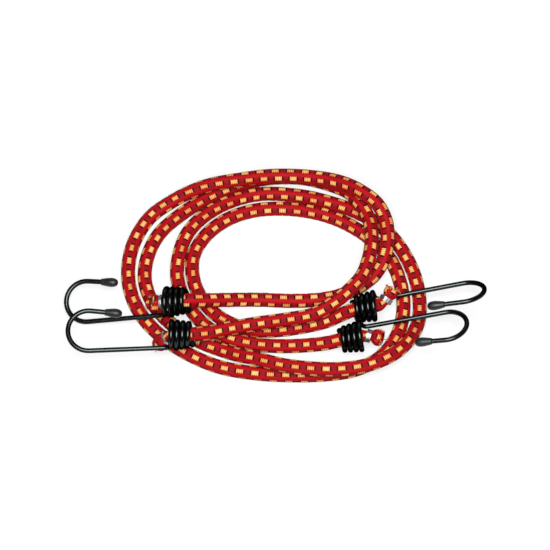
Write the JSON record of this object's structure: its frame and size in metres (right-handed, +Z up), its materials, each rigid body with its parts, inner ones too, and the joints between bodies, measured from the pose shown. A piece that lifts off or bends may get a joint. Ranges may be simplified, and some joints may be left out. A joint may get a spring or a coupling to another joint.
{
  "type": "elastic luggage cords with hooks",
  "caption": "Elastic luggage cords in braided sleeves, coiled together, with coiled wire hooks and vinyl tip caps, for strapping a load to a rack.",
  "frame": {"origin": "on the table, under the middle of the coiled pair", "axes": "+X from the left hooks to the right hooks, +Y away from the hooks' side of the coil, +Z up from the table"},
  "size_m": [0.2348, 0.1356, 0.0284],
  "materials": {
    "braided_sleeve": "woven",
    "rubber_core": "matte",
    "hook_wire": "gloss",
    "tip_vinyl": "satin",
    "crimp_steel": "satin"
  },
  "bodies": {
    "cords": {"cord_a_sleeve": "braided_sleeve", "cord_a_core": "rubber_core", "cord_a_left_crimp_clip": "crimp_steel", "cord_a_right_crimp_clip": "crimp_steel", "cord_b_sleeve": "braided_sleeve", "cord_b_core": "rubber_core", "cord_b_left_crimp_clip": "crimp_steel", "cord_b_right_crimp_clip": "crimp_steel"},
    "cord_a_left_swivel_hook": {"cord_a_left_hook": "hook_wire", "cord_a_left_tip_cap": "tip_vinyl"},
    "cord_a_right_swivel_hook": {"cord_a_right_hook": "hook_wire", "cord_a_right_tip_cap": "tip_vinyl"},
    "cord_b_left_swivel_hook": {"cord_b_left_hook": "hook_wire", "cord_b_left_tip_cap": "tip_vinyl"},
    "cord_b_right_swivel_hook": {"cord_b_right_hook": "hook_wire", "cord_b_right_tip_cap": "tip_vinyl"}
  },
  "joints": [
    {"name": "cord_a_left_hook_swivel", "type": "hinge", "parent": "cords", "child": "cord_a_left_swivel_hook", "pos_m": [-0.06085, -0.02325, 0.01468], "axis": [-0.9829, 0.0054, -0.1839], "range_deg": [-12, 36]},
    {"name": "cord_a_right_hook_swivel", "type": "hinge", "parent": "cords", "child": "cord_a_right_swivel_hook", "pos_m": [0.05585, -0.02411, 0.01251], "axis": [0.9821, 0.1482, 0.1159], "range_deg": [-22, 3]},
    {"name": "cord_b_left_hook_swivel", "type": "hinge", "parent": "cords", "child": "cord_b_left_swivel_hook", "pos_m": [-0.05812, -0.04561, 0.01709], "axis": [-0.9992, -0.0365, -0.0173], "range_deg": [-15, 60]},
    {"name": "cord_b_right_hook_swivel", "type": "hinge", "parent": "cords", "child": "cord_b_right_swivel_hook", "pos_m": [0.04846, -0.04315, 0.01195], "axis": [0.9797, 0.11, 0.1674], "range_deg": [-40, 20]}
  ]
}
